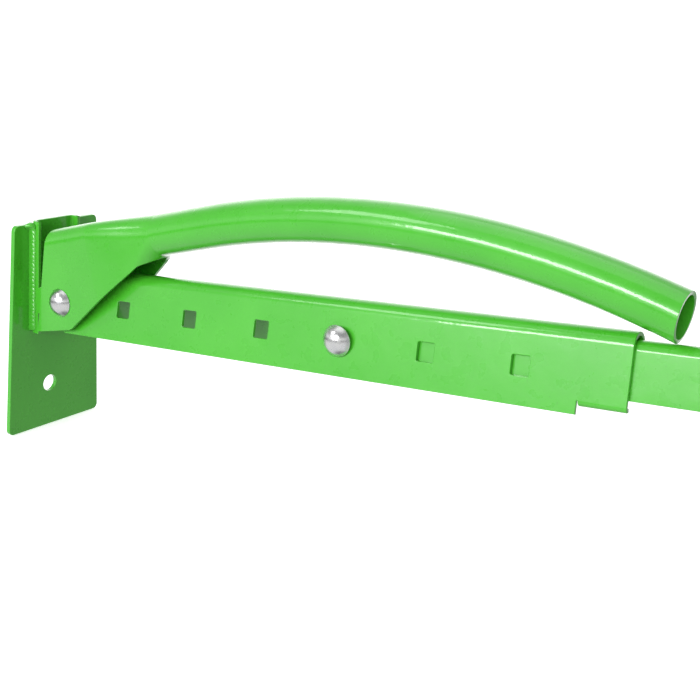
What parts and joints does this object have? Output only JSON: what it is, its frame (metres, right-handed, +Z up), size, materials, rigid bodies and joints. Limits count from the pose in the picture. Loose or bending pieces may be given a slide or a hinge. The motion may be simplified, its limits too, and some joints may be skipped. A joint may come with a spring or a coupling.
{
  "type": "adjustable overhead play bar",
  "caption": "Telescoping overhead play bar with hinged end plates, a curved clamping lever over one half and a row of square length-setting holes.",
  "frame": {"origin": "on the floor midway between the two end plates, on the bar's centre plane; the left end plate is 4.6 mm off that plane to the back and the right one 4.6 mm to the front", "axes": "+X along the bar from the lever's pivot end to the plain end, +Z up, -Y the side of the bolt heads"},
  "size_m": [0.8558, 0.0836, 0.1568],
  "materials": {
    "green_powder_coat": "gloss lime-green powder coat",
    "zinc_plated_steel": "bright zinc plating",
    "bare_steel": "plain turned steel"
  },
  "bodies": {
    "bar": {"outer_channel": "green_powder_coat", "inner_channel": "green_powder_coat", "left_pivot_bush": "bare_steel", "right_pivot_bush": "bare_steel", "length_bolt": "zinc_plated_steel", "length_washer": "zinc_plated_steel", "length_nut": "zinc_plated_steel"},
    "lever": {"lever_tube": "green_powder_coat", "left_pivot_bolt": "zinc_plated_steel", "left_pivot_washer": "zinc_plated_steel", "left_pivot_nut": "zinc_plated_steel"},
    "left_foot": {"left_end_plate": "green_powder_coat", "left_bracket": "green_powder_coat", "left_bracket_welds": "green_powder_coat"},
    "right_foot": {"right_end_plate": "green_powder_coat", "right_bracket": "green_powder_coat", "right_bracket_welds": "green_powder_coat", "right_pivot_bolt": "zinc_plated_steel", "right_pivot_washer": "zinc_plated_steel", "right_pivot_nut": "zinc_plated_steel"}
  },
  "joints": [
    {"name": "lever_lift", "type": "hinge", "parent": "bar", "child": "lever", "pos_m": [-0.385, 0, 0.08669], "axis": [0, -1, 0], "range_deg": [0, 17]},
    {"name": "left_plate_swing", "type": "hinge", "parent": "bar", "child": "left_foot", "pos_m": [-0.385, 0, 0.08669], "axis": [0, -1, 0], "range_deg": [0, 17]},
    {"name": "right_plate_swing", "type": "hinge", "parent": "bar", "child": "right_foot", "pos_m": [0.385, 0, 0.08669], "axis": [0, 1, 0], "range_deg": [-3, 19]}
  ],
  "couplings": [
    {"joint": "left_plate_swing", "follows": "lever_lift", "ratio": 1}
  ]
}
